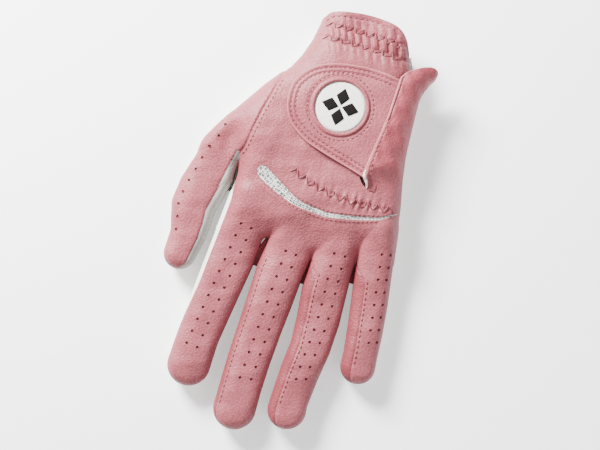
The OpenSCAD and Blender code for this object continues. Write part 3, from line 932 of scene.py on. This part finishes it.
# ---------------------------------------------------------------------------------------------
# Elastic tapes under the leather, sewn while stretched with zigzag rows, which gather the cuff and
# the leather over the knuckles.
tape, place = finish_of("elastic tape", 0.75)
ribs = place.node("TexWave", {"bands_direction": "Y"}, Vector=place, Scale=0.55)
mixed((0.82, 0.79, 0.76, 1), (0.6, 0.57, 0.55, 1), ribs).into("Base Color")
no_seam = np.full(len(x), CLEAR)
cuff_band = np.minimum.reduce([z - SIDE_Z - 2, y - 51.8, 61.8 - y, below_hem, 20 - x])
piece = cut_panel("cuff_elastic_tape", cuff_band, no_seam, tape, thickness=0.5, sink=1.0)
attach(piece, "hand")
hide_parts("cuff_elastic")
knuckle_band = np.minimum(2.6 - line_distance(x, y, knuckle_row)[0], z - SIDE_Z - 3)
piece = cut_panel("knuckle_elastic_tape", knuckle_band, no_seam, tape, thickness=0.5, sink=1.0)
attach(piece, "hand")
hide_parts("knuckle_elastic")
rows = [zigzag([(-16.5, row), (0, row + 0.4), (17.6, row - 0.7)], 2.15, 2.8, 0.25)
        for row in cuff_rows]
rows.append(zigzag(knuckle_row, 2.3, 3.4, -0.2))
piece = sew("elastic_zigzag_stitches", rows, top, pink_thread, radius=0.27, lift=0.16)
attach(piece, "hand")
hem_inner = [(-17.2, 60.9), (-14.2, 63.7), (-5, 65.4), (2.5, 65.8), (11.6, 64.6), (16, 62.1),
             (18.8, 57.6), (20.6, 53)]
piece = sew("hem_stitches", [running(hem_inner, 2.3)], top, pink_thread, radius=0.2)
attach(piece, "hand")

# ---------------------------------------------------------------------------------------------
# Closure tab: a drop of leather sewn under the flap's edge, which closes over the slit. It carries
# the badge, and underneath it a lining and the hook half of the fastener.
BADGE = np.array([-1.2, 26.7])
BADGE_R = 10.4
TAB_LIFT = 2.4               # how far the tab's face lies over the back of the hand
TAB_ROWS = (1.7, 3.7)        # how far in from the tab's edge its two seams run
BADGE_ROWS = (13.0, 14.1)    # radius of the groove around the badge and of the seam beyond it
RING_R, RING_HALF = 11.65, 0.85   # middle radius and half width of the raised ring
BADGE_SEAT = 10.75           # radius of the opening in the tab's leather that the badge sits in
TAB_WALL = 0.9
# the free edge, from under the flap at the wrist round to the corner beside the end of the slit
tab_edge = [(27, 43.9), (20, 44.7), (13, 45.7), (5.4, 46), (-3.9, 45), (-10.5, 43.2), (-15.7, 40.9),
            (-20, 37.2), (-23, 32.3), (-23.8, 26.7), (-22.8, 20.2), (-19.8, 14.9), (-15.3, 11.2),
            (-10.4, 8.5), (-4, 6.4), (3.1, 4.4), (9.2, 2.8), (15.7, 0.9), (18.9, -0.3), (27, -3)]
tab_edge_line = curve(tab_edge, 96)


def tab_base(x, y):
    """The surface that the tab lies on: the back of the hand without its folds and seams."""
    return SIDE_Z + (HAND_RISE + 0.1) * arch(edge_map(x, y))


def tab_level(x, y):
    """The tab's face without its seams and ring, which sinks towards its free edge."""
    edge_in, _ = line_distance(x, y, tab_edge_line)
    return tab_base(x, y) + TAB_LIFT - 1.0 * (1 - ramp(edge_in, 0, 9)) * (1 - ramp(x, 6, 16))


def bump_at(distance, place, width):
    """A rounded ridge, 1 high, where a distance has a given value."""
    return np.exp(-((distance - place) / width) ** 2)


def tab_top(x, y):
    """The outer face of the tab: a rounded outline edge, two sewn grooves along it, and the raised
    ring around the badge."""
    edge_in, _ = line_distance(x, y, tab_edge_line)
    from_badge = np.hypot(x - BADGE[0], y - BADGE[1])
    z = tab_level(x, y) - 0.55 * np.clip(1 - edge_in, 0, 1) ** 2
    z = z + 0.2 * bump_at(edge_in, 0.9, 0.5) + 0.2 * bump_at(edge_in, 2.7, 0.55)
    for row in TAB_ROWS:
        z = z - 0.28 * bump_at(edge_in, row, 0.42)
    z = z + 0.75 * np.sqrt(np.clip(1 - ((from_badge - RING_R) / RING_HALF) ** 2, 0, 1))
    for row, depth in zip(BADGE_ROWS, (0.2, 0.15)):
        z = z - depth * bump_at(from_badge, row, 0.4)
    return z + 0.12 * np.sin(x * 0.35 + 1) * np.sin(y * 0.3)


CENTRE_R = 0.05              # radius of the small opening in the middle of a round piece


def circle(radius, count, centre=BADGE):
    """Points evenly spaced on a circle."""
    angle = np.arange(count) / count * 2 * np.pi
    return centre + radius * np.stack([np.cos(angle), np.sin(angle)], 1)


def moulded(inner, outer, rings, surface, thickness):
    """A wall lying on a surface, in plan between two closed lines of points, by as many rings of
    faces less one; its normals come from the surface's slopes. Gives its points and faces."""
    t = np.linspace(0, 1, rings)[:, None, None]
    p = (inner * (1 - t) + outer * t).reshape(-1, 2)
    n = len(inner)
    i, j = np.meshgrid(np.arange(rings - 1), np.arange(n), indexing="ij")
    a, b = (i * n + j).ravel(), (i * n + (j + 1) % n).ravel()
    x, y = p.T
    e = 0.2
    normals = unit(np.stack([surface(x - e, y) - surface(x + e, y), surface(x, y - e) - surface(x, y + e),
                             np.full(len(x), 2 * e)], 1))
    faces = halves(np.stack([a, a + n, b + n, b], 1))
    return shell(np.column_stack([p, surface(x, y)]), faces, normals, thickness)


def tab_blend(piece):
    """Bakes the piece's placement into its mesh."""
    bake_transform(piece)


def root_x(y):
    """X at which the tab's leather ends, under the folded edge of the flap."""
    return np.interp(y, [-1, 2, 7, 14, 24, 45], [16.9, 17.6, 18.2, 19.2, 20.4, 21.0])


free = curve(tab_edge, 600)
free = free[free[:, 0] < root_x(free[:, 1])]
root_y = np.linspace(free[-1, 1], free[0, 1], 62)[1:-1]
outline = np.concatenate([free, np.column_stack([root_x(root_y), root_y])])
outline = down_line(outline, np.linspace(0, walked(outline)[-1], 360))
inner = BADGE + BADGE_SEAT * unit(outline - BADGE)
piece = make("tab_cover_leather", *moulded(inner, outline, 60, tab_top, TAB_WALL), back_leather)
tab_blend(piece)
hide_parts("tab_leather", "badge_ring")

inward = leftward(unit(np.gradient(free, axis=0)))
# a paler pink for the rolled edges of the tab and of the flap's fold: a painted highlight where the rounded
# edge catches the light
highlit_edge_leather = leather("rolled edge painted highlight", (0.38, 0.118, 0.13, 1), (0.28, 0.072, 0.084, 1), grain=0.5, bump=0.2)
rim = (free + 0.5 * inward)[::2]
p, f = tube(np.column_stack([rim, tab_top(*rim.T) - 0.08]), 0.42)
piece = make("tab_edge_leather", p, f, highlit_edge_leather)
tab_blend(piece)

rows = [free + row * inward for row in TAB_ROWS]
sewn = [running(row[row[:, 0] < 18][4::10], 2.0) for row in rows]
sewn.append(running(circle(BADGE_ROWS[1], 40)[np.r_[0:40, 0]], 2.0))
piece = sew("tab_stitches", sewn, tab_top, pink_thread, radius=0.25, lift=0.14)
tab_blend(piece)

cloth, place = finish_of("backing cloth", 0.85)
weave = place.node("TexWave", {}, Vector=place, Scale=1.2)
mixed((0.36, 0.12, 0.13, 1), (0.26, 0.075, 0.085, 1), weave).into("Base Color")
lining = outline - 0.9 * unit(outline - BADGE)
lining[:, 0] = np.minimum(lining[:, 0], 17.5)
p, f = moulded(BADGE + 0.02 * (inner - BADGE), lining, 30, lambda x, y: tab_level(x, y) - 0.92, 0.3)
piece = make("tab_lining_cloth", p, f, cloth)
tab_blend(piece)
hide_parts("tab_lining")

# ---------------------------------------------------------------------------------------------
# Badge: a soft round plate moulded to an off-white finish and set in the tab behind the raised ring.
# Its mark is four lozenges in satin stitch.
badge_finish, place = finish_of("badge", 0.45)
specks = place.node("TexNoise", {}, Vector=place, Scale=1.8, Detail=3.0)
mixed((0.78, 0.76, 0.72, 1), (0.66, 0.64, 0.60, 1), specks.between(0.35, 0.75)).into("Base Color")
place.node("Bump", {}, Strength=0.4, Distance=0.0002, Height=specks).into("Normal")
PLATE_R = 10.9               # the plate's border goes in under the ring


def badge_top(x, y):
    """A low dome whose border turns down into the ring."""
    r = np.hypot(x - BADGE[0], y - BADGE[1])
    dome = 0.3 * (1 - (r / BADGE_R) ** 2) - 0.6 * ramp(r, 9.6, PLATE_R) ** 2
    return tab_base(x, y) + TAB_LIFT - 0.1 + dome


p, f = moulded(circle(CENTRE_R, 120), circle(PLATE_R, 120), 44, badge_top, 0.6)
piece = make("badge_plate", p, f, badge_finish)
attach(piece, "tab")
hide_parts("badge_disc")

black_thread, place = finish_of("black embroidery", 0.8, Specular_IOR_Level=0.05)
strands = place.node("TexWave", {"bands_direction": "DIAGONAL"}, Vector=place, Scale=0.9, Distortion=0.8)
mixed((0.0025, 0.002, 0.002, 1), (0.012, 0.010, 0.010, 1), strands).into("Base Color")


def lozenge(turn, far=4.35, length=3.8, width=3.0, n=49):
    """A satin-stitched lozenge: a cushion over a square grid laid on its corners, with a ridge for
    each thread across it."""
    u, v = np.meshgrid(np.linspace(-1, 1, n), np.linspace(-1, 1, n), indexing="ij")
    a, b = far + (u + v) / 2 * length, (v - u) / 2 * width
    c, d = np.cos(turn), np.sin(turn)
    px, py = BADGE[0] + c * a - d * b, BADGE[1] + d * a + c * b
    cushion = ((1 - u ** 6) * (1 - v ** 6)) ** 0.5
    threads = 0.07 * np.abs(np.sin(np.pi * (px + 0.35 * py) / 0.42))
    return np.stack([px, py, badge_top(px, py) - 0.1 + (0.55 + threads) * cushion], -1)


p, f = joined([patch(lozenge(k * np.pi / 2), 0.5) for k in range(4)])
piece = make("badge_embroidery", p, f, black_thread)
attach(piece, "tab")
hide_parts("badge_emblem")

# ---------------------------------------------------------------------------------------------
# Fastener under the tab: a round of moulded hooks on the lining, and a round of looped pile sewn on
# the back of the hand.
TAB_CENTRE = np.array([-3.0, 26.5])
pile, place = finish_of("looped pile", 0.95)
fuzz = place.node("TexNoise", {}, Vector=place, Scale=3.0, Detail=5.0, Roughness=0.8)
mixed((0.20, 0.05, 0.06, 1), (0.40, 0.15, 0.16, 1), fuzz.between(0.3, 0.7)).into("Base Color")
place.node("Bump", {}, Strength=1.0, Distance=0.0006, Height=fuzz).into("Normal")
PILE_R, HOOKS_R = 17.5, 16.5  # radius of either half of the fastener


def pile_top(x, y):
    """The pile's face: a low disc with a rounded border and a tangle of small waves."""
    r = np.hypot(x - TAB_CENTRE[0], y - TAB_CENTRE[1])
    tangle = np.sin(2.9 * x + 1.7 * np.sin(2.3 * y)) * np.sin(3.3 * y + 1.3 * np.sin(2.7 * x))
    return tab_base(x, y) + 0.15 + 0.45 * (1 - ramp(r, 16.2, PILE_R)) + 0.06 * tangle


p, f = moulded(circle(CENTRE_R, 150, TAB_CENTRE), circle(PILE_R, 150, TAB_CENTRE), 60, pile_top, 0.5)
piece = make("loop_patch_pile", p, f, pile)
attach(piece, "hand")
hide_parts("loop_patch")

plastic, place = finish_of("hook plastic", 0.35)
cloud = place.node("TexNoise", {}, Vector=place, Scale=0.4)
mixed((0.52, 0.49, 0.47, 1), (0.40, 0.37, 0.36, 1), cloud).into("Base Color")


def hooks_z(x, y):
    """The face that the hooks stand on, under the tab's lining."""
    return tab_level(x, y) - 1.22


backing = moulded(circle(CENTRE_R, 120, TAB_CENTRE), circle(HOOKS_R, 120, TAB_CENTRE), 24, hooks_z, 0.25)
hx, hy = np.meshgrid(np.arange(-15.5, 15.6, 1.35), np.arange(-15.5, 15.6, 1.1))
hx = hx + 0.67 * (np.arange(len(hx)) % 2)[:, None]
near = np.hypot(hx, hy) < 15.8
stand = np.column_stack([hx[near] + TAB_CENTRE[0], hy[near] + TAB_CENTRE[1]])
stand = np.column_stack([stand, hooks_z(*stand.T) - 0.2])
# a hook: a square post that leans over at its end, as five rings of four points
post = np.array([(0, 0, 0.16), (0, -0.25, 0.13), (0.05, -0.42, 0.12), (0.2, -0.5, 0.1), (0.33, -0.38, 0.06)])
ring4 = np.array([(1, 1), (-1, 1), (-1, -1), (1, -1)])
hook = np.array([[(cx + w * a, w * b, cz) for a, b in ring4] for cx, cz, w in post]).reshape(-1, 3)
all_hooks = (stand[:, None] + hook[None]).reshape(-1, 3)
quads = [[k + i, k + 4 + i, k + 4 + (i + 1) % 4, k + (i + 1) % 4] for k in range(0, 16, 4) for i in range(4)]
quads += [[0, 1, 2, 3], [19, 18, 17, 16]]
faces = (np.arange(len(stand))[:, None, None] * 20 + np.array(quads)).reshape(-1, 4).tolist()
p, f = joined([backing, (all_hooks, faces)])
piece = make("hook_patch_plastic", p, f, plastic)
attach(piece, "tab")
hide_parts("hook_patch")

# ---------------------------------------------------------------------------------------------
# Flap beyond the slit: one leather with the back of the hand. Its folded and stitched edge stands
# over the tab's root, and at the wrist it ends in a free rounded ear.
flap_leather = leather("flap leather", (0.32, 0.062, 0.078, 1), (0.235, 0.038, 0.050, 1),
                       near_slit=BACK_PINK)
FLAP_LOW, FLAP_HIGH = -3.4, 50.8   # y of the flap's two ends
ridge_line = [(19.2, FLAP_LOW), (17.7, -1.2), (16.5, 1.8), (16.6, 6.3), (17.6, 14.2), (18.9, 24),
              (19.5, 36.2), (19.8, 45)]
ear_edge = [(19.8, 45), (21.9, 48.1), (24.7, 50.4), (27.9, 52.4), (31.2, 53.5), (33.4, 53.4), (34.8, 52.3),
            (35.1, FLAP_HIGH)]
ear_side = [(30.9, 36), (31.2, 41), (32.8, 46.0), (34.6, 49.1), (35.1, FLAP_HIGH)]
FOLD_SEAM = 2.6                    # how far in from the fold its seam runs


def outline_x(y):
    """X of the glove's outline on the heel's side at the given y."""
    xs = np.arange(22, 46, 0.05)
    return xs[np.argmax(edge_map(*np.broadcast_arrays(xs[None], y[:, None])) >= 1, axis=1)]


# The flap is a patch between four lines: the fold, the heel's outline with the ear's outer side, the
# short foot below and the ear's free edge at the head.
NV, NU = 190, 80
left_side = curve(ridge_line, NV)
y_side = np.linspace(FLAP_LOW, FLAP_HIGH, NV)
ear_x = np.interp(y_side, *curve(ear_side, 80).T[::-1])
share = ramp(y_side, 35, 41)
right_side = np.column_stack([outline_x(y_side) * (1 - share) + ear_x * share, y_side])
u = np.cos(np.linspace(np.pi / 2, 0, NU)) ** 0.8
foot_line = left_side[0] * (1 - u[:, None]) + right_side[0] * u[:, None]
head = curve(ear_edge, 400)
head_line = down_line(head, u * walked(head)[-1])
U, V = u[None, :, None], np.linspace(0, 1, NV)[:, None, None]
corners = [(1 - U) * left_side[k] + U * right_side[k] for k in (0, -1)]
plan = ((1 - U) * left_side[:, None] + U * right_side[:, None] + (1 - V) * foot_line[None]
        + V * head_line[None] - (1 - V) * corners[0] - V * corners[1])
px, py = plan[..., 0], plan[..., 1]
fold = np.linalg.norm(plan - plan[:, :1], axis=-1)
lift = (TAB_LIFT + 1.0) * ramp(left_side[:, 1], FLAP_LOW, 3.0)
ridge_z = (tab_base(*left_side.T) + lift)[:, None]
side_z = (SIDE_Z + 5.5 * ramp(y_side, 38, 51))[:, None]
flap_z = side_z + (ridge_z - side_z) * arch(u[None])
bend = 0.28 * np.sin(2 * np.pi * (0.72 * px + 0.69 * py) / 6.7 + 1.2 * np.sin(py / 7)) * ramp(py, 0, 8)
bend += 0.16 * np.sin(2 * np.pi * (0.35 * px - 0.93 * py) / 9.0) * ramp(fold, 3, 7)
flap_z = flap_z + bend * ramp(fold, 2, 6) * (1 - ramp(u, 0.8, 1)) + 0.8 * creases(px, py) * (1 - u)
flap_z = flap_z - 0.34 * bump_at(fold, FOLD_SEAM, 0.55) - 0.9 * np.clip(1 - fold / 1.1, 0, 1) ** 2
# at its foot the flap joins the hand's back, later beside the fold than at the heel
joins = np.maximum(ramp(py, -3.2, 8.0), ramp(py, FLAP_LOW, 0.5) * (1 - ramp(fold, 3, 9)))
flap_z = top(px, py) * (1 - joins) + flap_z * joins
flap_grid = np.stack([px, py, flap_z], -1)
wall = WALL + 0.9 * (1 - ramp(fold, 2.8, 3.4)) * ramp(py, -3, 2)
p, f = patch(flap_grid, wall.ravel(), backwards=True)
piece = make("heel_flap_leather", p, f, flap_leather)
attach(piece, "hand")
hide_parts("ulnar_panel")

# the fold's own edge, painted paler as a highlight where the rounded edge catches the light, from above the
# slit's end up and round the start of the ear
near_fold = np.argmin(np.abs(fold - 0.45), axis=1)
rim = np.concatenate([flap_grid[np.arange(NV), near_fold][14:-2], flap_grid[-1][(u > 0.04) & (u < 0.36)]])
even, number = np.linspace(0, len(rim) - 1, 260), np.arange(len(rim))
rim = np.stack([np.interp(even, number, column) for column in rim.T], 1)
rim = (np.roll(rim, 1, 0) + rim + np.roll(rim, -1, 0))[1:-1] / 3
t = np.linspace(0, 1, len(rim))
p, f = tube(rim - (0, 0, 0.12), 0.2 + 0.38 * ramp(t, 0, 0.06) * (1 - ramp(t, 0.9, 1)))
piece = make("heel_flap_edge_leather", p, f, highlit_edge_leather)
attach(piece, "hand")
cut_edge = leather("cut edge", (0.76, 0.60, 0.58, 1), (0.60, 0.42, 0.41, 1), grain=0.4, bump=0.2)
curl = curve([(16.5, 4.2), (16.2, 2.6), (16.7, 1.1), (17.8, -0.2), (18.6, -1.6), (18.9, -3.1)], 60)
t = np.linspace(0, 1, 60)
lower = ramp(t, 0.35, 1)
curl_z = top(*curl.T) * lower + (tab_top(*curl.T) + 0.5) * (1 - lower) + 0.35
p, f = tube(np.column_stack([curl, curl_z]), 0.2 + 0.45 * np.sin(np.pi * t) ** 0.8)
piece = make("slit_end_curl_leather", p, f, cut_edge)
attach(piece, "hand")

sewn_line = flap_grid[np.arange(NV), np.argmin(np.abs(fold - FOLD_SEAM), axis=1)][3:-3]


def flap_top(x, y):
    """Height of the flap near its fold, read along the sewn line."""
    return np.interp(y, sewn_line[:, 1], sewn_line[:, 2]) + 0 * x


seam = running(sewn_line[8::12, :2], 2.1)
piece = sew("heel_flap_stitches", [seam], flap_top, pink_thread, radius=0.25, lift=0.14)
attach(piece, "hand")
# the bar of close stitches that stops the slit from tearing
across = np.outer(np.arange(5), (0.5, 0))
upward = np.outer(np.arange(4), (0, 0.45))
bar = [(across + (20.2, -4.1), across + (20.4, -2.6)), (upward + (21.9, -2.6), upward + (23.0, -2.4))]
piece = sew("slit_bar_stitches", bar, lambda x, y: top(x, y) + 0.05, pink_thread, radius=0.24)
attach(piece, "hand")

# ---------------------------------------------------------------------------------------------
# Forks: at the root of the fingers their side strips meet in a short saddle of the same leather.
# Each has the place of its head, in the fork, that of its toe, between the fingers, and a half width.
saddles = {"index_middle": ((-14.2, -34.5), (-18.2, -48), 2.7),
           "middle_ring": ((6.3, -36.5), (4.3, -50), 2.4),
           "ring_little": ((25.2, -28.5), (26.5, -44), 2.8),
           "thumb_index": ((-36.9, -9), (-38.2, -20), 1.3)}
for fork, (head, toe, half) in saddles.items():
    u, v = np.meshgrid(np.linspace(-1, 1, 25), np.linspace(0, 1, 40), indexing="ij")
    mid = np.array(head) * (1 - v[..., None]) + np.array(toe) * v[..., None]
    px = mid[..., 0] + u * half * (0.55 + 0.45 * v)
    pz = 8.2 - 1.5 * v - 1.2 * v ** 4 + 1.2 * u ** 2 + 0.12 * np.sin(9 * v + 2 * u)
    p, f = patch(np.stack([px, mid[..., 1], pz], -1), 0.8, backwards=True)
    piece = make(fork + "_saddle_leather", p, f, shade_grey_gusset_leather if fork == "thumb_index" else shaded_side_leather)
    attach(piece, "hand")

# ---------------------------------------------------------------------------------------------
# Palm: a second layer of leather on the heel, with rounded corners and a row of white stitches.
piece = cut_panel("palm_patch_leather", np.minimum(inside, 3.0 - z), inside, palm_leather, thickness=0.7)
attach(piece, "hand")
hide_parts("palm_patch")


def under(x, y):
    """Height of the palm's skin."""
    return SIDE_Z - UNDER * arch(edge_map(x, y))


corner = np.radians(np.arange(0, 91, 15))
quarter = np.stack([np.cos(corner), np.sin(corner)], 1) * (PALM_CORNER - 1.6)
centres = PALM_HALF - PALM_CORNER
loop = np.concatenate([quarter * (1, 1) + centres, quarter[::-1] * (-1, 1) + centres * (-1, 1),
                       quarter * (-1, -1) - centres, quarter[::-1] * (1, -1) + centres * (1, -1)])
loop = np.concatenate([loop, loop[:1]]) + (0, PALM_Y)
piece = sew("palm_patch_stitches", [running(loop, 2.4)], under, white_thread, lift=-0.18, facing=-1)
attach(piece, "hand")
